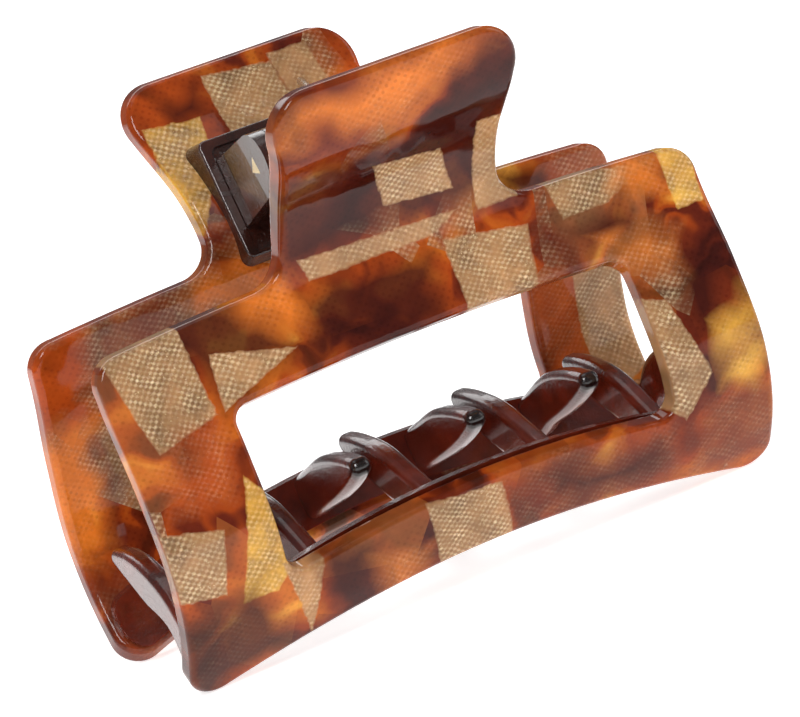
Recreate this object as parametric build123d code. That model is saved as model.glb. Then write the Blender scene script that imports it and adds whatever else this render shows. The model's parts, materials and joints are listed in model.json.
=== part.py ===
from build123d import *
from math import acos, atan2, cos, hypot, pi, radians, sin, sqrt
import os

os.makedirs("parts", exist_ok=True)

# A hair claw clip: two identical bent sheet plates, jaws down and finger tabs up.
# X runs across the width, along the hinge pin, and Z is up. Heights are measured from the
# square lower corners of the plates; rounding lifts those corners, so the finished pieces
# are lowered at the end to stand on z = 0. The jaws lie one at each side of y = 0.
# Every piece of a jaw is drawn for the rear one, at y > 0. Half a turn about Z gives the front.

# ---- plates: one bent sheet with a window and a finger tab ----
plate_half_width = 44.0
plate_thickness = 3.6
tab_top_height = 71.8
# Bend of the outer face, seen from the side: (height, distance from y = 0) at stations up it.
bend_stations = (
    (0, 11),
    (8, 17),
    (18, 20),
    (30, 18),
    (42, 14),
    (50, 13.5),
    (56, 17),
    (64, 24.5),
    (72, 28),
)
bottom_edge_rise = 6.4            # the lower edge arches up in the middle
body_corner_radius = 3.8
window_half_width = 29.0
window_low_height = 13.2
window_low_rise = 2.7
window_high_height = 35.5
window_high_rise = 1.0
window_middle_height = 24.5
window_corner_radius = 2.5
shoulder_height = 46.0
shoulder_rise = 1.8
tab_root_half_width = 16.7
tab_waist_half_width = 16.0
tab_waist_height = 58.5
tab_top_half_width = 19.0
tab_root_radius = 4.5
tab_corner_radius = 5.0
plate_edge_round = 0.9
cutter_depth = 9.0                # cutting blocks pass this far to each side of the outer face
waste_width = 2.4 * plate_half_width
waste_height = 40.0

# ---- hinge: two ears of one jaw straddle a single ear of the other, at each side ----
hinge_height = 60.3
pin_radius = 0.74
running_clearance = 0.05
pin_key_side = 2.6                # triangular head of the pin, keyed in the rear jaw's outer ear
pin_key_corner_radius = 0.12
ear_radius = 4.4
ear_thickness = 2.1
ear_gap = 0.15
inner_ear_start = 4.0
ear_foot_high = 60.9
ear_foot_low = 51.8
ear_foot_depth = 1.2

# ---- hinge brackets, glued inside the finger tabs ----
# The base has a flat top between two edges, (y, height), and flares towards the tab.
bracket_low_edge = (7.3, 48.1)
bracket_high_edge = (14.0, 63.7)
bracket_half_width = 12.0
bracket_flare_angle = 12
bracket_rim = 1.3
bracket_recess = 0.4
bracket_corner_radius = 1.0
bracket_edge_round = 0.35
bracket_block_height = 8.0        # before it is cut to the hollow of the tab

# ---- torsion spring ----
wire_radius = 0.6
coil_radius = 2.75
coil_half_length = 2.85
coil_turns = 4
leg_straight_reach = 6.4          # the leg passes the ears before it bends outwards
leg_bend_radius = 3.0
spring_tip_x = 7.4
spring_tip_height = 63.2
spring_tip_gap = 0.05

# ---- tooth strips, glued inside the lower rails ----
strip_half_length = 42.8
strip_thickness = 1.5
strip_high = 16.9                 # upper edge at the middle
strip_low = 10.2                  # lower edge at the middle
strip_drop = 7.2                  # how much lower the strip is at the plate's sides
strip_end_radius = 2.4
strip_edge_round = 0.3
tooth_thickness = 2.9
tooth_pitch = 17.4
first_tooth_x = 41.0
tooth_count = 5
tooth_tip_drop = 3.0              # how much lower the tips are at the plate's sides
tooth_root_depth = 0.8
tooth_root_margin = 0.5           # left free above and below a tooth's root on the strip
tooth_edge_round = 1.05
# Side outline of a middle tooth as (y, height, share of the tip's drop), root to tip and back.
tooth_back = ((9.5, 18.9, 0.35), (4.5, 20.7, 0.75), (-1.0, 21.5, 1.0))
tooth_nose = (-6.6, 20.25)
tooth_nose_radius = 1.3
tooth_nose_angles = (94, 160, 235)
tooth_belly = ((-3.6, 17.0, 1.0), (1.5, 14.8, 0.85), (7.0, 12.9, 0.55))


def chord(piece):
    """Height and slope of the straight line between two neighbouring stations."""
    low, high = bend_stations[piece], bend_stations[piece + 1]
    return high[0] - low[0], (high[1] - low[1]) / (high[0] - low[0])


def station_slope(station):
    """Slope of the bend at a station, from a parabola through it and its neighbours."""
    middle = min(max(station, 1), len(bend_stations) - 2)
    (span_below, slope_below), (span_above, slope_above) = chord(middle - 1), chord(middle)
    slope = (span_above * slope_below + span_below * slope_above) / (span_below + span_above)
    if station < middle:
        return 2 * slope_below - slope
    if station > middle:
        return 2 * slope_above - slope
    return slope


def bend(height):
    """Distance and slope of the outer face at a height: cubic pieces that join smoothly."""
    last = len(bend_stations) - 2
    piece = 0
    while piece < last and height > bend_stations[piece + 1][0]:
        piece += 1
    low_height, low_y = bend_stations[piece]
    high_y = bend_stations[piece + 1][1]
    low_slope, high_slope = station_slope(piece), station_slope(piece + 1)
    span = chord(piece)[0]
    t = (height - low_height) / span
    y = (2 * t**3 - 3 * t**2 + 1) * low_y + (t**3 - 2 * t**2 + t) * span * low_slope
    y += (3 * t**2 - 2 * t**3) * high_y + (t**3 - t**2) * span * high_slope
    slope = (6 * t**2 - 6 * t) * (low_y - high_y) / span
    slope += (3 * t**2 - 4 * t + 1) * low_slope + (3 * t**2 - 2 * t) * high_slope
    return y, slope


def sheet_point(height, depth):
    """Point (y, z) at a depth inside the outer face, measured square to the sheet."""
    y, slope = bend(height)
    length = hypot(1, slope)
    return y - depth / length, height + depth * slope / length


def inner_y(level, depth):
    """Distance from y = 0, at a level z, of the surface at a depth inside the outer face."""
    height = level
    for _ in range(12):
        height += level - sheet_point(height, depth)[1]
    return sheet_point(height, depth)[0]


def sheet_curve(depth, low_height=0, high_height=tab_top_height + 2, steps=36):
    """Points (y, z) up the bent sheet at a constant depth; by default the whole sheet."""
    span = high_height - low_height
    return [sheet_point(low_height + span * i / steps, depth) for i in range(steps + 1)]


def bar_across(outline_edges, half_length):
    """Closed outline in the plane x = 0, drawn out to both sides."""
    outline = make_face([Plane.YZ * edge for edge in outline_edges])
    return extrude(outline, half_length, both=True)


def room_inside(wall, half_length):
    """Room between a curve up the sheet and the middle of the clip."""
    corners = Polyline(wall[-1], (0, wall[-1][1]), (0, wall[0][1]), wall[0])
    return bar_across([Spline(*wall)] + list(corners.edges()), half_length)


def sheet_plane(low_height, high_height):
    """Plane through the outer face at two heights: x across, y up the sheet, z inwards."""
    low_y, high_y = bend(low_height)[0], bend(high_height)[0]
    up = Vector(0, high_y - low_y, high_height - low_height).normalized()
    across = Vector(1, 0, 0)
    return Plane(origin=(0, low_y, low_height), x_dir=across, z_dir=across.cross(up))


def along_sheet(low_height, high_height):
    """Straight distance between two heights on the outer face."""
    return hypot(bend(high_height)[0] - bend(low_height)[0], high_height - low_height)


def arched_block(half_width, rise, far_side, corner_radius):
    """Flat shape with one arched edge and rounded corners, and a straight far side."""
    arch = ThreePointArc((-half_width, 0), (0, rise), (half_width, 0))
    sides = Polyline((half_width, 0), (half_width, far_side), (-half_width, far_side), (-half_width, 0))
    block = make_face([arch, sides])
    corners = [v for v in block.vertices() if abs(v.Y) < 0.01]
    return fillet(corners, corner_radius)


def lower_edge_cutter():
    """Everything below the arched lower edge and its rounded corners."""
    plane = sheet_plane(0, bottom_edge_rise)
    rise = along_sheet(0, bottom_edge_rise)
    blank = arched_block(plate_half_width, rise, waste_height, body_corner_radius)
    waste = Rectangle(waste_width, waste_height) - blank
    return extrude(plane * waste, cutter_depth, both=True)


def window_cutter(height, rise):
    """Half of the window, from its arched edge to the middle, square to the sheet at that edge."""
    reach = along_sheet(height, window_middle_height)
    if height > window_middle_height:
        reach = -reach
    opening = arched_block(window_half_width, rise, reach, window_corner_radius)
    return extrude(sheet_plane(height, height + rise) * opening, cutter_depth, both=True)


def shoulder_cutter():
    """Everything beside and above the finger tab, down to the arched shoulders."""
    top = tab_top_height - shoulder_height
    waist = tab_waist_height - shoulder_height
    root, middle, tip = tab_root_half_width, tab_waist_half_width, tab_top_half_width
    body = arched_block(plate_half_width, shoulder_rise, -12, body_corner_radius)
    right = ThreePointArc((root, 0), (middle, waist), (tip, top))
    left = ThreePointArc((-tip, top), (-middle, waist), (-root, 0))
    tab = make_face([Line((-root, 0), (root, 0)), right, Line((tip, top), (-tip, top)), left])
    blank = body + tab
    tips = [v for v in blank.vertices() if abs(v.Y - top) < 0.01]
    blank = fillet(tips, tab_corner_radius)
    roots = [v for v in blank.vertices() if abs(abs(v.X) - root) < 0.6 and abs(v.Y) < 2 * shoulder_rise]
    blank = fillet(roots, tab_root_radius)
    waste = Pos(0, waist) * Rectangle(waste_width, waste_height) - blank
    plane = Plane(origin=(0, 0, shoulder_height), x_dir=(1, 0, 0), z_dir=(0, -1, 0))
    return extrude(plane * waste, waste_height, both=True)


def plate_solid():
    """The bent sheet with its outline and window cut and its rim rounded."""
    outer, inner = sheet_curve(0), sheet_curve(plate_thickness)
    edges = [Spline(*outer), Line(outer[-1], inner[-1]), Spline(*inner), Line(inner[0], outer[0])]
    sheet = bar_across(edges, plate_half_width)
    sheet -= lower_edge_cutter()
    sheet -= window_cutter(window_low_height, window_low_rise)
    sheet -= window_cutter(window_high_height, window_high_rise)
    sheet -= shoulder_cutter()
    return sheet.fillet(plate_edge_round, sheet.edges())


def bracket_plane():
    """Flat top of a bracket's base: x across, y up the tab, z away from the tab."""
    low, high = Vector(0, *bracket_low_edge), Vector(0, *bracket_high_edge)
    across = Vector(1, 0, 0)
    return Plane(origin=(low + high) / 2, x_dir=across, z_dir=across.cross(high - low))


def bracket_base():
    """Base that fills the hollow of the bent tab and ends in a flat, rimmed top."""
    plane = bracket_plane()
    width = 2 * bracket_half_width
    length = (Vector(*bracket_high_edge) - Vector(*bracket_low_edge)).length
    outline = plane * RectangleRounded(width, length, bracket_corner_radius)
    block = extrude(outline, -bracket_block_height, taper=-bracket_flare_angle)
    top = block.faces().sort_by(Axis(plane.origin, plane.z_dir))[-1]
    block = block.fillet(bracket_edge_round, top.edges())
    block &= room_inside(sheet_curve(plate_thickness), width)
    floor = RectangleRounded(width - 2 * bracket_rim, length - 2 * bracket_rim, bracket_corner_radius)
    return block - extrude(plane * floor, bracket_recess, both=True)


def ear_solid(start, bore):
    """One hinge ear from x = start, round about the pin and running out to its wide foot."""
    plane = bracket_plane()
    foot = []
    for level in (ear_foot_high, ear_foot_low):
        along = (level - plane.origin.Z) / plane.y_dir.Z
        point = plane.origin + plane.y_dir * along - plane.z_dir * ear_foot_depth
        foot.append((point.Y, point.Z))
    nose = Pos(0, hinge_height) * Circle(ear_radius)
    outline = make_hull(nose.edges() + [Line(*foot)])
    ear = extrude(Plane.YZ.offset(start) * outline, ear_thickness)
    return ear - extrude(Plane.YZ.offset(start) * Pos(0, hinge_height) * bore, ear_thickness)


def ear_starts():
    """Inner faces of the inner, single and outer ears, going outwards."""
    step = ear_thickness + ear_gap
    return inner_ear_start, inner_ear_start + step, inner_ear_start + 2 * step


def pin_key():
    """Triangular section of the pin's head, with its corners slightly rounded."""
    triangle = RegularPolygon(pin_key_side / sqrt(3), 3, rotation=90)
    return fillet(triangle.vertices(), pin_key_corner_radius)


def bracket_solid(outer_bore):
    """Base with a pair of ears at one side and a single ear at the other."""
    inner, single, outer = ear_starts()
    bore = Circle(pin_radius + running_clearance)
    bracket = bracket_base()
    bracket += ear_solid(-inner - ear_thickness, bore)
    bracket += ear_solid(-outer - ear_thickness, outer_bore)
    bracket += ear_solid(single, bore)
    return bracket


def pin_solid():
    """Round pin along X with a triangular head in the rear jaw's outer ear."""
    end_x = ear_starts()[2] + ear_thickness
    axis_plane = Plane.YZ.offset(-end_x)
    shaft = extrude(axis_plane * Pos(0, hinge_height) * Circle(pin_radius), 2 * end_x)
    head = extrude(axis_plane * Pos(0, hinge_height) * pin_key(), ear_thickness)
    return shaft + head


def spring_route():
    """Angle at which the rear leg leaves the coil, and the point (y, z) where it ends."""
    depth = plate_thickness + wire_radius + spring_tip_gap
    tip_y, tip_z = sheet_point(spring_tip_height, depth)
    reach = hypot(tip_y, tip_z - hinge_height)
    return atan2(tip_z - hinge_height, tip_y) + acos(coil_radius / reach), (tip_y, tip_z)


def spring_solid():
    """One wire: a leg to each tab and a left-handed coil about the pin."""
    leave, tip = spring_route()
    turn = 2 * pi * coil_turns + pi - 2 * leave
    pitch = 2 * coil_half_length * 2 * pi / turn
    helix = Helix(pitch, 2 * coil_half_length, coil_radius, lefthand=True)
    coil_plane = Plane(
        origin=(-coil_half_length, 0, hinge_height),
        x_dir=(0, -cos(leave), sin(leave)),
        z_dir=(1, 0, 0),
    )
    coil = coil_plane * helix
    coil_end, away = coil @ 1, coil % 1
    elbow = coil_end + away * ((leg_straight_reach - coil_end.Y) / away.Y)
    leg = FilletPolyline(coil_end, elbow, (spring_tip_x, *tip), radius=leg_bend_radius)
    wire = Wire([*(Rot(0, 0, 180) * leg).edges(), coil, *leg.edges()])
    return sweep(Plane(origin=wire @ 0, z_dir=wire % 0) * Circle(wire_radius), path=wire)


def strip_drop_at(x):
    """How much lower the strip lies at x than at the middle."""
    return strip_drop * (x / plate_half_width) ** 2


def strip_bar():
    """Thin bar along the inner face, arched like the plate's lower edge."""
    end_drop = strip_drop_at(strip_half_length)
    ends = (-strip_half_length, strip_high - end_drop), (strip_half_length, strip_high - end_drop)
    high = ThreePointArc(ends[0], (0, strip_high), ends[1])
    height = strip_high - strip_low
    low = Pos(0, -height) * ThreePointArc(ends[0], (0, strip_high), ends[1])
    outline = make_face([high, low, Line(high @ 0, low @ 0), Line(high @ 1, low @ 1)])
    outline = fillet(outline.vertices(), strip_end_radius)
    plane = Plane(origin=(0, 0, 0), x_dir=(1, 0, 0), z_dir=(0, -1, 0))
    strip = extrude(plane * outline, plate_half_width, both=True)
    strip &= room_inside(sheet_curve(plate_thickness), plate_half_width)
    return strip - room_inside(sheet_curve(plate_thickness + strip_thickness, -5, 30), plate_half_width)


def tooth_solid(x):
    """One flat curved tooth that reaches across the gap between the jaws."""
    root_drop = strip_drop_at(x)
    tip_drop = tooth_tip_drop * (x / first_tooth_x) ** 2

    def placed(point):
        y, height, share = point
        return y, height - root_drop * (1 - share) - tip_drop * share

    nose = []
    for angle in tooth_nose_angles:
        y = tooth_nose[0] + tooth_nose_radius * cos(radians(angle))
        nose.append(placed((y, tooth_nose[1] + tooth_nose_radius * sin(radians(angle)), 1)))
    nose_arc = ThreePointArc(*nose)
    root_depth = plate_thickness + tooth_root_depth
    high_z = strip_high - root_drop - tooth_root_margin
    low_z = strip_low - root_drop + tooth_root_margin
    high = (inner_y(high_z, root_depth), high_z)
    low = (inner_y(low_z, root_depth), low_z)
    back = [high] + [placed(point) for point in tooth_back] + [nose[0]]
    belly = [nose[-1]] + [placed(point) for point in tooth_belly] + [low]
    back_curve = Spline(*back, tangents=[(-1, 0.55), nose_arc % 0])
    belly_curve = Spline(*belly, tangents=[nose_arc % 1, (1, -0.35)])
    tooth = bar_across([back_curve, nose_arc, belly_curve, Line(low, high)], tooth_thickness / 2)
    rim = [e for e in tooth.edges() if abs(abs((e @ 0.5).X) - tooth_thickness / 2) < 0.01]
    rim = [e for e in rim if (e @ 0.5).Y < min(high[0], low[0]) - 0.3]
    return Pos(x, 0, 0) * tooth.fillet(tooth_edge_round, rim)


def tooth_strip_solid():
    """Strip with its row of teeth, each tooth beside one of the other strip's."""
    strip = strip_bar()
    for index in range(tooth_count):
        strip += tooth_solid(first_tooth_x - tooth_pitch * index)
    return strip


rear_plate = plate_solid()
rear_bracket = bracket_solid(pin_key())
front_bracket = bracket_solid(Circle(pin_radius + running_clearance))
rear_teeth = tooth_strip_solid()
pieces = {
    "rear_plate": rear_plate,
    "rear_hinge_bracket": rear_bracket,
    "rear_tooth_strip": rear_teeth,
    "front_plate": Rot(0, 0, 180) * rear_plate,
    "front_hinge_bracket": Rot(0, 0, 180) * front_bracket,
    "front_tooth_strip": Rot(0, 0, 180) * rear_teeth,
    "hinge_pin": pin_solid(),
    "torsion_spring": spring_solid(),
}
lowest = rear_plate.bounding_box().min.Z
for name, piece in pieces.items():
    export_step(Pos(0, 0, -lowest) * piece, f"parts/{name}.step")
print("lowered by", round(lowest, 4), "so the hinge axis is at z =", round(hinge_height - lowest, 4))
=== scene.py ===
import json
import math

import bpy
from mathutils import Matrix, Vector

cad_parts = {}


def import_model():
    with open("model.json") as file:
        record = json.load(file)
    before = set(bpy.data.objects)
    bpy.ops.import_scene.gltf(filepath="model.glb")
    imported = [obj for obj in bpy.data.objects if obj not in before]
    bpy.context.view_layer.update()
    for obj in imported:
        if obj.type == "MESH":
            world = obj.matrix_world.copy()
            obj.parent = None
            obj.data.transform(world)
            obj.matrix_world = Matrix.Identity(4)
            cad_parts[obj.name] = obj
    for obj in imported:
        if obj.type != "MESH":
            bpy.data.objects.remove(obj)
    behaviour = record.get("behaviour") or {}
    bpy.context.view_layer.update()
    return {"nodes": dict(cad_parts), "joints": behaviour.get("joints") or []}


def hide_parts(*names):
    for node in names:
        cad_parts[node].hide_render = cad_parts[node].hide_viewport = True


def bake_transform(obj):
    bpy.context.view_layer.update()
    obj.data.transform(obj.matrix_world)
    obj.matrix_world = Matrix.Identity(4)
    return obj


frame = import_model()
nodes = frame["nodes"]
hinge = frame["joints"][0]["pos_m"]
MM = 0.001
CENTRE = 0.5    # middle of a noise colour, taken off so that it shifts places both ways


# ---------------------------------------------------------------- node helpers
class Shader:
    """A material under construction: short calls that add a node and return its output.

    place is the point on the clip in millimetres, and normal its direction, both in the clip's axes.
    """

    def __init__(self, name):
        self.material = bpy.data.materials.new(name)
        self.material.use_nodes = True
        self.tree = self.material.node_tree
        self.tree.nodes.clear()
        coordinates = self.add("ShaderNodeTexCoord")
        self.place = self.vector("SCALE", coordinates.outputs["Object"], scale=1 / MM)
        self.normal = coordinates.outputs["Normal"]

    def add(self, kind, **settings):
        made = self.tree.nodes.new(kind)
        for key, value in settings.items():
            setattr(made, key, value)
        return made

    def put(self, socket, value):
        if isinstance(value, bpy.types.NodeSocket):
            self.tree.links.new(value, socket)
        elif isinstance(value, (int, float)) and hasattr(socket.default_value, "__len__"):
            socket.default_value = (value, value, value)
        else:
            socket.default_value = value

    def vector(self, operation, first, second=None, scale=None):
        made = self.add("ShaderNodeVectorMath", operation=operation)
        self.put(made.inputs[0], first)
        if second is not None:
            self.put(made.inputs[1], second)
        if scale is not None:
            self.put(made.inputs["Scale"], scale)
        return made.outputs["Value" if operation == "DOT_PRODUCT" else "Vector"]

    def math(self, operation, *values):
        made = self.add("ShaderNodeMath", operation=operation)
        for socket, value in zip(made.inputs, values):
            self.put(socket, value)
        return made.outputs[0]

    def texture(self, kind, place, scale, **inputs):
        made = self.add(kind)
        self.put(made.inputs["Vector"], place)
        self.put(made.inputs["Scale"], scale)
        for key, value in inputs.items():
            self.put(made.inputs[key], value)
        return made

    def noise(self, place, scale, detail=2.0, rough=0.5, distortion=0.0):
        made = self.texture(
            "ShaderNodeTexNoise", place, scale, Detail=detail, Roughness=rough, Distortion=distortion
        )
        return made.outputs["Fac"]

    def drift(self, place, scale, detail, amount):
        """A smooth shift, up to about half the amount in mm, that varies from place to place."""
        made = self.texture("ShaderNodeTexNoise", place, scale, Detail=detail)
        return self.vector("SCALE", self.vector("SUBTRACT", made.outputs["Color"], CENTRE), scale=amount)

    def ramp(self, value, stops, smooth):
        made = self.add("ShaderNodeValToRGB")
        made.color_ramp.interpolation = "EASE" if smooth else "LINEAR"
        points = made.color_ramp.elements
        while len(points) < len(stops):
            points.new(0.5)
        for point, (at, colour) in zip(points, stops):
            point.position = at
            point.color = (*colour, 1)
        self.put(made.inputs["Fac"], value)
        return made.outputs["Color"]

    def mix(self, factor, first, second):
        made = self.add("ShaderNodeMix", data_type="RGBA", clamp_factor=True)
        self.put(made.inputs["Factor"], factor)
        for socket, value in ((made.inputs[6], first), (made.inputs[7], second)):
            self.put(socket, (*value, 1) if isinstance(value, tuple) else value)
        return made.outputs[2]

    def span(self, value, low, high, to_low=0.0, to_high=1.0):
        made = self.add("ShaderNodeMapRange")
        for socket, number in zip(made.inputs, (value, low, high, to_low, to_high)):
            self.put(socket, number)
        return made.outputs[0]

    def bump(self, height, distance):
        made = self.add("ShaderNodeBump")
        self.put(made.inputs["Strength"], 1.0)
        self.put(made.inputs["Distance"], distance)
        self.put(made.inputs["Height"], height)
        return made.outputs["Normal"]

    def finish(self, **inputs):
        surface = self.add("ShaderNodeBsdfPrincipled")
        for key, value in inputs.items():
            socket = surface.inputs[key.replace("_", " ")]
            self.put(socket, (*value, 1) if isinstance(value, tuple) and socket.type == "RGBA" else value)
        output = self.add("ShaderNodeOutputMaterial")
        self.tree.links.new(surface.outputs[0], output.inputs["Surface"])
        return self.material


# ---------------------------------------------------------------- acetate
DARK = (0.040, 0.0060, 0.004)
RED = (0.125, 0.016, 0.006)
ORANGE = (0.36, 0.055, 0.007)
AMBER = (0.56, 0.140, 0.014)
# Brightest tone: partly the amber's own golden colour and partly a painted glow of light shining through
# the sheet.
GOLD_AND_PAINTED_GLOW = (0.88, 0.380, 0.050)
TAN = (0.42, 0.225, 0.100)
PALE_THREAD = (0.86, 0.68, 0.42)
DEEP_THREAD = (0.40, 0.215, 0.095)
DULL_THREAD = (0.17, 0.095, 0.050)
# Colour of the painted glints on the metal mesh.
PAINTED_GLINT = (1.0, 0.82, 0.50)
DOT_TINT = (0.5, 0.35, 0.3)

# Width over which a shard's edge fades, in mm, and the share of mesh from which the edge is crisp.
CRISP_EDGE, MELTED_EDGE = 0.35, 4
WOVEN_FROM = 0.5
# Waves of the woven beads and of the faint screen of dots, in radians per mm across and along.
BEAD_WAVES = (5.6, 7.6)
DOT_WAVES = (4.6, 5.4)

# Shards of the sheet seen face on: corners as (x, z) in mm, colour, and share of woven mesh in it.
FRONT_SHARDS = (
    # upper rail, left to right
    (((-34, 47), (-19, 47), (-17, 38), (-30, 33)), DARK, 0),
    (((-43, 46), (-32, 46), (-31, 34), (-40, 32)), TAN, 1),
    (((-29, 41), (-18, 38), (-30, 34)), TAN, 1),
    (((-26, 47), (-16, 47), (-14, 40), (-22, 41)), AMBER, 0.1),
    (((-14, 45), (5, 43), (2, 34), (-17, 36)), DARK, 0),
    (((6, 44), (18, 42), (16, 33), (6, 34)), TAN, 1),
    (((18, 44), (22, 44), (25, 34), (17, 33)), RED, 0.1),
    (((22, 47), (37, 44), (30, 41), (23, 41)), TAN, 0.9),
    (((30, 47), (40, 46), (39, 39), (33, 39)), AMBER, 0.2),
    (((39, 46), (44, 46), (43, 37), (39, 37)), GOLD_AND_PAINTED_GLOW, 0.8),
    (((24, 40), (33, 41), (34, 36), (24, 36)), DARK, 0),
    # left stile
    (((-42, 31), (-32, 33), (-33, 24), (-42, 24)), ORANGE, 0.2),
    (((-44, 23), (-36, 21), (-38, 13), (-44, 14)), TAN, 1),
    (((-31, 26), (-28, 22), (-27, 15), (-31, 11), (-36, 11)), GOLD_AND_PAINTED_GLOW, 0.7),
    # right stile
    (((27, 37), (38, 35), (37, 30), (30, 29)), AMBER, 0.4),
    (((29, 28), (32, 27), (35, 16), (30, 11), (27, 14)), TAN, 1),
    (((34, 31), (42, 33), (41, 24), (34, 22)), DARK, 0),
    (((37, 23), (44, 24), (40, 10), (36, 13)), GOLD_AND_PAINTED_GLOW, 0.2),
    # lower rail
    (((-46, 13), (-33, 12), (-28, 2), (-46, -2)), DARK, 0.05),
    (((-30, 14), (-24, 13), (-27, 3)), TAN, 0.8),
    (((-24, 14), (-17, 13), (-18, 2), (-25, 2)), DARK, 0),
    (((-17, 10), (-9, 9), (-11, 3), (-17, 2)), AMBER, 0.2),
    (((-9, 14), (2, 13), (3, 4), (-8, 5)), TAN, 0.9),
    (((3, 15), (28, 12), (28, 1), (4, 4)), RED, 0.15),
    (((8, 12), (24, 10), (24, 5), (8, 7)), DARK, 0.05),
    (((32, 12), (45, 11), (45, 0), (30, 3)), RED, 0.15),
    # finger tab
    (((-18, 60), (18, 62), (17, 47), (-17, 48)), DARK, 0),
    (((-3, 57), (7, 56), (9, 50), (-1, 51)), TAN, 0.9),
    (((-18, 62), (-18, 72), (19, 72), (17, 64), (0, 62)), RED, 0),
    (((-17, 67), (-2, 70), (15, 70), (2, 65), (-17, 63)), AMBER, 0.1),
    (((-12, 64), (2, 67), (10, 67), (2, 63)), AMBER, 0.2),
    (((-13, 64), (-7, 64), (-2, 60), (-13, 60)), RED, 0),
    (((8, 65), (18, 68), (18, 59), (5, 59)), DARK, 0),
    (((12, 58), (17, 58), (18, 46), (12, 46)), TAN, 0.5),
    (((-14, 48), (9, 47), (5, 45), (-13, 45)), TAN, 0.6),
)
REAR_SHARDS = (
    # finger tab
    (((-19, 71), (-5, 71), (-5, 66), (-19, 63)), ORANGE, 0),
    (((-13, 67), (-5, 69), (-5, 64), (-12, 64)), DARK, 0),
    (((-5, 69), (5, 68), (6, 60), (-5, 61)), TAN, 1),
    (((5, 69), (11, 69), (12, 60), (6, 60)), TAN, 0.5),
    (((-16, 65), (-6, 64), (-9, 60), (-12, 50), (-17, 50)), GOLD_AND_PAINTED_GLOW, 0.9),
    (((11, 71), (19, 71), (18, 60), (12, 60)), ORANGE, 0),
    (((-17, 52), (-11, 52), (-11, 47), (-17, 47)), RED, 0),
    # body
    (((-19, 47), (-8, 48), (-9, 40), (-22, 41)), AMBER, 0.1),
    (((-36, 46), (-22, 47), (-24, 36), (-36, 37)), RED, 0.3),
    (((-46, 46), (-37, 46), (-37, 32), (-46, 31)), ORANGE, 0),
    (((-46, 32), (-37, 32), (-38, 15), (-46, 13)), AMBER, 0.1),
    (((-46, 14), (-38, 12), (-34, 0), (-44, 0)), RED, 0.1),
    (((29, 35), (36, 35), (36, 8), (29, 8)), ORANGE, 0.2),
    (((36, 32), (46, 32), (46, 12), (36, 8)), TAN, 0.8),
    (((26, 46), (34, 46), (34, 38), (27, 38)), DARK, 0),
    (((34, 47), (46, 47), (46, 39), (34, 39)), ORANGE, 0.4),
)


def shard_mask(shader, place, corners, blur):
    """1 inside a convex outline given by its corners, falling to 0 over blur millimetres."""
    sides = list(zip(corners, corners[1:] + corners[:1]))
    area = sum(x1 * z2 - x2 * z1 for (x1, z1), (x2, z2) in sides)
    depth = None
    for (x1, z1), (x2, z2) in sides:
        length = math.copysign(math.hypot(x2 - x1, z2 - z1), area)
        inward = ((z1 - z2) / length, 0.0, (x2 - x1) / length)
        offset = inward[0] * x1 + inward[2] * z1
        inside = shader.math("SUBTRACT", shader.vector("DOT_PRODUCT", place, inward), offset)
        depth = inside if depth is None else shader.math("MINIMUM", depth, inside)
    return shader.span(depth, -0.4 * blur, 0.6 * blur)


def crossing_waves(shader, place, across, along):
    """Staggered soft dots, from -1 to 1, where two slightly slanted sets of waves cross."""
    rows = shader.math("SINE", shader.vector("DOT_PRODUCT", place, (across, 0, 0.15 * across)))
    columns = shader.math("SINE", shader.vector("DOT_PRODUCT", place, (-0.12 * along, 0, along)))
    return shader.math("MULTIPLY", rows, columns)


def woven(shader, laid):
    """Colour of the metallic mesh laid into the sheet: staggered bright beads about 1 mm apart. Their
    pale colour fades in and out from place to place, and is partly the mesh's own colour and partly a
    painted highlight where the metal catches the light.
    """
    bead = shader.span(crossing_waves(shader, laid, *BEAD_WAVES), -0.35, 0.8)
    # Painted highlight: where it is high, the metal beads are painted pale as if catching the light.
    painted_bead_highlight = shader.span(shader.noise(laid, 0.55, detail=4, rough=0.75), 0.38, 0.68, to_low=0.15)
    worn = shader.span(shader.noise(laid, 0.17), 0.35, 0.65)
    ground = shader.mix(worn, DULL_THREAD, DEEP_THREAD)
    return shader.mix(shader.math("MULTIPLY", bead, painted_bead_highlight), ground, PALE_THREAD)


def random_shards(shader, moved, colour):
    """Angular pieces all over the sheet, some of them woven: the new colour and the mesh's share."""
    squeezed = shader.vector("MULTIPLY", moved, (1.0, 0.05, 0.8))
    cells = shader.texture("ShaderNodeTexVoronoi", squeezed, 0.085)
    pick = shader.add("ShaderNodeSeparateColor")
    shader.put(pick.inputs[0], cells.outputs["Color"])
    tones = ((0.0, DARK), (0.35, RED), (0.6, ORANGE), (0.85, AMBER), (1.0, TAN))
    tone = shader.ramp(pick.outputs[1], tones, smooth=False)
    colour = shader.mix(shader.math("MULTIPLY", pick.outputs[2], 0.4), colour, tone)
    return colour, shader.math("MULTIPLY", shader.span(pick.outputs[0], 0.76, 0.78), 0.7)


def placed_shards(shader, place, swirl, shards, colour, mesh_share):
    """The shards of a table: woven ones have crisp, slightly frayed edges and the others melt away."""
    frayed = shader.vector("ADD", place, shader.drift(place, 0.9, detail=2, amount=0.6))
    melted = shader.vector("ADD", place, shader.drift(place, 0.13, detail=1, amount=8))
    clear = shader.span(swirl, 0.25, 0.7)
    for corners, shade, mesh in shards:
        moved, blur = (frayed, CRISP_EDGE) if mesh >= WOVEN_FROM else (melted, MELTED_EDGE)
        mask = shard_mask(shader, moved, corners, blur)
        murky = tuple(0.6 * c for c in shade)
        bright = tuple(min(1.5 * c, 1.0) for c in shade)
        colour = shader.mix(shader.math("MULTIPLY", mask, 0.9), colour, shader.mix(clear, murky, bright))
        mesh_share = shader.mix(mask, mesh_share, (mesh, mesh, mesh))
    return colour, mesh_share


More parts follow.
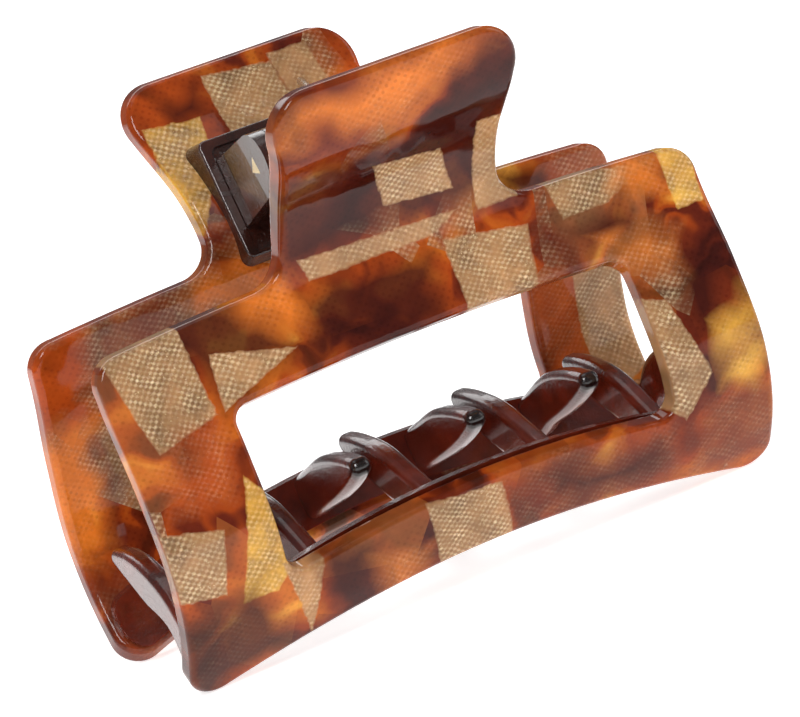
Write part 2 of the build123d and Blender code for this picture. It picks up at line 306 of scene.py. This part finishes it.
def mesh_layer(shader, place, laid, colour, mesh_share):
    """Lays the woven mesh, its painted glints and the faint screen of dark dots over the broad faces."""
    patchy = shader.span(shader.noise(place, 0.28, detail=4, rough=0.6), 0.34, 0.6, to_low=0.35)
    broad_face = shader.math("ABSOLUTE", shader.vector("DOT_PRODUCT", shader.normal, (0, 1, 0)))
    patchy = shader.math("MULTIPLY", patchy, shader.span(broad_face, 0.3, 0.55))
    share = shader.math("MULTIPLY", mesh_share, patchy)
    colour = shader.mix(shader.math("MULTIPLY", share, 0.9), colour, woven(shader, laid))
    # Painted glints: pale spots on the mesh where its metal would catch the light.
    painted_glint = shader.span(shader.noise(place, 2.2, rough=0.7), 0.62, 0.72)
    painted_glint = shader.math("MULTIPLY", painted_glint, shader.math("MULTIPLY", share, 0.5))
    colour = shader.mix(painted_glint, colour, PAINTED_GLINT)
    dots = shader.span(crossing_waves(shader, laid, *DOT_WAVES), 0.2, 0.8)
    dots = shader.math("MULTIPLY", dots, shader.math("SUBTRACT", patchy, 0.4))
    dotted = shader.vector("MULTIPLY", colour, DOT_TINT)
    return shader.mix(shader.math("MULTIPLY", dots, 0.6), colour, dotted)


def acetate(name, shards, shift):
    """Polished tortoiseshell sheet: swirls of amber and red-brown with angular shards and woven mesh.

    The shift, in millimetres, gives a sheet its own swirls.
    """
    shader = Shader(name)
    place = shader.place
    moved = shader.vector("ADD", place, (shift, 0, shift))
    bent = shader.vector("ADD", moved, shader.drift(moved, 0.06, detail=3, amount=26))
    flatter = shader.vector("MULTIPLY", bent, (1.0, 0.25, 1.0))
    swirl = shader.noise(flatter, 0.075, detail=1.5, rough=0.4, distortion=1.2)
    tones = ((0.34, DARK), (0.45, RED), (0.53, ORANGE), (0.63, AMBER), (0.76, GOLD_AND_PAINTED_GLOW))
    colour = shader.ramp(swirl, tones, smooth=True)
    colour, mesh_share = random_shards(shader, moved, colour)
    colour, mesh_share = placed_shards(shader, place, swirl, shards, colour, mesh_share)
    laid = shader.vector("ADD", place, shader.drift(moved, 0.06, detail=3, amount=3))
    colour = mesh_layer(shader, place, laid, colour, mesh_share)
    fine = shader.span(shader.noise(place, 0.5, detail=6, rough=0.7), 0.3, 0.7, 0.92, 1.14)
    return shader.finish(
        Base_Color=shader.vector("MULTIPLY", colour, fine),
        Roughness=shader.span(shader.noise(place, 0.12, detail=4), 0.35, 0.7, 0.04, 0.09),
        IOR=1.47,
        Specular_IOR_Level=0.27,
        Subsurface_Weight=0.2,
        Subsurface_Radius=(1.0, 0.32, 0.08),
        Subsurface_Scale=0.0012,
        Normal=shader.bump(shader.noise(place, 0.14, detail=1), 0.3 * MM),
    )


# ---------------------------------------------------------------- moulded and metal parts
BLACKISH = ((0.018, 0.007, 0.005), (0.062, 0.014, 0.008))
RED_BROWN = ((0.045, 0.006, 0.003), (0.165, 0.018, 0.006))
TOOTH_TIP = (0.010, 0.005, 0.004)
BRASS = (0.90, 0.74, 0.48)
STEEL = (0.74, 0.72, 0.69)

# The bracket bases' flat tops: the way they face as (towards the middle, up), a point on them as
# (from the middle, below the hinge axis) in mm, and from these how far along that way they lie.
BASE_NORMAL = (0.919, 0.395)
BASE_POINT = (10.65, 4.4)
BASE_TOP = -BASE_NORMAL[0] * BASE_POINT[0] + BASE_NORMAL[1] * (hinge[2] / MM - BASE_POINT[1])
RECESS_DEPTH = 0.4


def pebbles(shader, side):
    """Height of the pebbled grain on the recessed floor of the bracket on that side of y."""
    level = shader.vector("DOT_PRODUCT", shader.place, (0, -BASE_NORMAL[0] * side, BASE_NORMAL[1]))
    below = shader.math("SUBTRACT", BASE_TOP, level)
    deep_enough = shader.span(below, RECESS_DEPTH - 0.10, RECESS_DEPTH - 0.04)
    not_too_deep = shader.span(below, RECESS_DEPTH + 0.10, RECESS_DEPTH + 0.04)
    cells = shader.texture("ShaderNodeTexVoronoi", shader.place, 1.5)
    cells.feature = "SMOOTH_F1"
    floor_only = shader.math("MULTIPLY", deep_enough, not_too_deep)
    return shader.math("MULTIPLY", shader.math("MULTIPLY", cells.outputs["Distance"], floor_only), 3.0)


def moulded(name, deep, thin, tips=0, recess=0):
    """Glossy moulded plastic, mottled between two colours.

    Where tips is a side of y, 1 or -1, it turns nearly black from 6 to 7.4 mm on that side.
    Where recess is a side of y, the bracket on that side has a pebbled floor.
    """
    shader = Shader(name)
    cloud = shader.noise(shader.place, 0.16, detail=4, rough=0.6)
    colour = shader.mix(shader.span(cloud, 0.3, 0.7), deep, thin)
    if tips:
        reach = shader.vector("DOT_PRODUCT", shader.place, (0, tips, 0))
        colour = shader.mix(shader.span(reach, 6.0, 7.4), colour, TOOTH_TIP)
    grain = shader.noise(shader.place, 1.6, detail=4, rough=0.7)
    if recess:
        grain = shader.math("ADD", pebbles(shader, recess), grain)
    return shader.finish(
        Base_Color=colour,
        Roughness=shader.span(cloud, 0.3, 0.7, 0.06, 0.13),
        IOR=1.5,
        Coat_Weight=0.6,
        Coat_Roughness=0.03,
        Subsurface_Weight=0.15,
        Subsurface_Radius=(1.0, 0.2, 0.1),
        Subsurface_Scale=0.001,
        Normal=shader.bump(grain, 0.08 * MM),
    )


def metal(name, colour, rough, stretch):
    """Drawn wire or rod, with fine lines along X. The stretch scales X before the lines are made."""
    shader = Shader(name)
    stretched = shader.vector("MULTIPLY", shader.place, (stretch, 1, 1))
    lines = shader.noise(stretched, 3.0, detail=5, rough=0.6)
    worn = shader.noise(shader.place, 0.8, detail=3)
    duller = tuple(0.75 * c for c in colour)
    return shader.finish(
        Base_Color=shader.mix(shader.span(worn, 0.3, 0.7), duller, colour),
        Metallic=1.0,
        Roughness=shader.span(lines, 0.3, 0.7, rough * 0.7, rough * 1.4),
        Normal=shader.bump(lines, 0.04 * MM),
    )


def dress(node, material):
    """One material on a CAD node."""
    nodes[node].data.materials.clear()
    nodes[node].data.materials.append(material)


dress("front_plate", acetate("acetate_front", FRONT_SHARDS, shift=0))
dress("rear_plate", acetate("acetate_rear", REAR_SHARDS, shift=137))
dress("front_hinge_bracket", moulded("bracket_plastic_front", *BLACKISH, recess=-1))
dress("rear_hinge_bracket", moulded("bracket_plastic_rear", *BLACKISH, recess=1))
dress("front_tooth_strip", moulded("tooth_plastic_front", *RED_BROWN, tips=1))
dress("rear_tooth_strip", moulded("tooth_plastic_rear", *RED_BROWN, tips=-1))
dress("hinge_pin", metal("pin_brass", BRASS, rough=0.3, stretch=0.1))


# ---------------------------------------------------------------- spring
WIRE_RADIUS = 0.6 * MM
COIL_RADIUS = 2.75 * MM
COIL_HALF_LENGTH = 2.85 * MM
COIL_TURNS = 4
STEPS_PER_TURN = 48
LEG_TIP = Vector((7.4 * MM, 20.4 * MM, hinge[2] + 5.65 * MM))
ELBOW_Y = 6.4 * MM
ELBOW_ROUND = 1.2 * MM


def coil_points():
    """The coil's middle line, from the left leg's end to the right leg's, as a helix about the hinge."""
    reach = math.hypot(LEG_TIP.y, LEG_TIP.z - hinge[2])
    leave = math.atan2(LEG_TIP.z - hinge[2], LEG_TIP.y) + math.acos(COIL_RADIUS / reach)
    turn = 2 * math.pi * COIL_TURNS + math.pi - 2 * leave
    steps = STEPS_PER_TURN * COIL_TURNS
    coil = []
    for step in range(steps + 1):
        share = step / steps
        angle = math.pi - leave - turn * share
        around = Vector((0, math.cos(angle), math.sin(angle))) * COIL_RADIUS
        coil.append(around + Vector((COIL_HALF_LENGTH * (2 * share - 1), 0, hinge[2])))
    return coil


def leg_points(coil):
    """The right leg: it leaves the coil straight, rounds an elbow and ends at its tip."""
    away = (coil[-1] - coil[-2]).normalized()
    elbow = coil[-1] + away * (ELBOW_Y - coil[-1].y) / away.y
    before = elbow - away * ELBOW_ROUND
    after = elbow + (LEG_TIP - elbow).normalized() * ELBOW_ROUND
    bend = [before.lerp(elbow, s).lerp(elbow.lerp(after, s), s) for s in (0, 0.25, 0.5, 0.75, 1)]
    return bend + [LEG_TIP]


def wire_mesh(name, route):
    """Mesh of a round wire along the route, with flat ends."""
    curve = bpy.data.curves.new("spring_route", "CURVE")
    curve.dimensions = "3D"
    curve.bevel_depth = WIRE_RADIUS
    curve.bevel_resolution = 6
    curve.use_fill_caps = True
    line = curve.splines.new("POLY")
    line.points.add(len(route) - 1)
    for point, place in zip(line.points, route):
        point.co = (*place, 1)
    source = bpy.data.objects.new("spring_source", curve)
    mesh = bpy.data.meshes.new_from_object(source)
    mesh.name = name
    bpy.data.objects.remove(source)
    for face in mesh.polygons:
        face.use_smooth = len(face.vertices) == 4
    return mesh


def spring():
    """The torsion spring's wire: leg, coil, leg."""
    coil = coil_points()
    leg = leg_points(coil)
    other_leg = [Vector((-p.x, -p.y, p.z)) for p in reversed(leg)]
    mesh = wire_mesh("torsion_spring_wire", other_leg + coil + leg)
    piece = bpy.data.objects.new("torsion_spring_wire", mesh)
    bpy.context.scene.collection.objects.link(piece)
    mesh.materials.clear()
    mesh.materials.append(metal("spring_wire", STEEL, rough=0.22, stretch=0.3))
    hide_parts("torsion_spring")
    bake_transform(piece)


spring()


# ---------------------------------------------------------------- floor, light and camera
FLOOR_HALF = 6.0        # metres
FLOOR_GREY = 0.88
FLOOR_GLOW = 0.72       # emission, which lifts the ground to an even white

# Place and size in metres, and power in watts, of each rectangular light.
LIGHTS = {
    "key": ((-0.5, -0.6, 0.75), (0.3, 0.45), 6),
    "fill": ((0.9, -0.30, 0.45), (0.5, 0.7), 2.2),
    "back": ((0.1, 0.9, 0.8), (1.2, 0.6), 6),
    "top": ((0, 0, 1.1), (0.8, 0.8), 2),
}
LIT_POINT = Vector((0, 0, 35)) * MM
WORLD_COLOUR = (0.9, 0.92, 0.95, 1)
WORLD_STRENGTH = 0.2

# The point looked at, the camera's distance and angles from there, and its lens and sensor in mm.
CAMERA_AIM = Vector((0.5, -2.0, 28.8)) * MM
CAMERA_DISTANCE = 465.5 * MM
CAMERA_AZIMUTH = math.radians(-22.8)
CAMERA_ELEVATION = math.radians(12.3)
CAMERA_ROLL = math.radians(16.3)
CAMERA_LENS = 159.9
CAMERA_SENSOR = 36


def floor():
    """Wide white ground that only the picture needs."""
    half = FLOOR_HALF
    corners = [(-half, -half, 0), (half, -half, 0), (half, half, 0), (-half, half, 0)]
    mesh = bpy.data.meshes.new("floor")
    mesh.from_pydata(corners, [], [(0, 1, 2, 3)])
    piece = bpy.data.objects.new("floor", mesh)
    bpy.context.scene.collection.objects.link(piece)
    material = bpy.data.materials.new("floor")
    material.use_nodes = True
    surface = material.node_tree.nodes["Principled BSDF"]
    surface.inputs["Base Color"].default_value = (FLOOR_GREY, FLOOR_GREY, FLOOR_GREY, 1)
    surface.inputs["Roughness"].default_value = 0.9
    surface.inputs["Specular IOR Level"].default_value = 0.1
    surface.inputs["Emission Color"].default_value = (1, 1, 1, 1)
    surface.inputs["Emission Strength"].default_value = FLOOR_GLOW
    mesh.materials.append(material)


def softbox(name, place, size, power):
    """Rectangular area light, aimed at the clip."""
    light = bpy.data.lights.new(name, "AREA")
    light.shape = "RECTANGLE"
    light.size, light.size_y = size
    light.energy = power
    lamp = bpy.data.objects.new(name, light)
    lamp.location = place
    lamp.rotation_euler = (LIT_POINT - Vector(place)).to_track_quat("-Z", "Y").to_euler()
    bpy.context.scene.collection.objects.link(lamp)


def world():
    """Dim even light from all round."""
    made = bpy.data.worlds.new("studio")
    made.use_nodes = True
    background = made.node_tree.nodes["Background"]
    background.inputs["Color"].default_value = WORLD_COLOUR
    background.inputs["Strength"].default_value = WORLD_STRENGTH
    bpy.context.scene.world = made


def camera():
    """Camera from the front left, a little above, rolled so that the clip leans up to the right."""
    level = math.cos(CAMERA_ELEVATION)
    back = Vector((
        math.sin(CAMERA_AZIMUTH) * level, -math.cos(CAMERA_AZIMUTH) * level, math.sin(CAMERA_ELEVATION)
    ))
    data = bpy.data.cameras.new("camera")
    data.lens = CAMERA_LENS
    data.sensor_width = CAMERA_SENSOR
    data.clip_start, data.clip_end = 0.01, 50
    viewer = bpy.data.objects.new("camera", data)
    viewer.rotation_mode = "QUATERNION"
    turn = (-back).to_track_quat("-Z", "Y").to_matrix() @ Matrix.Rotation(-CAMERA_ROLL, 3, "Z")
    viewer.rotation_quaternion = turn.to_quaternion()
    viewer.location = CAMERA_AIM + back * CAMERA_DISTANCE
    bpy.context.scene.collection.objects.link(viewer)
    bpy.context.scene.camera = viewer


floor()
for light_name, (light_place, light_size, light_power) in LIGHTS.items():
    softbox(light_name, light_place, light_size, light_power)
world()
bpy.context.scene.view_settings.view_transform = "Standard"
camera()
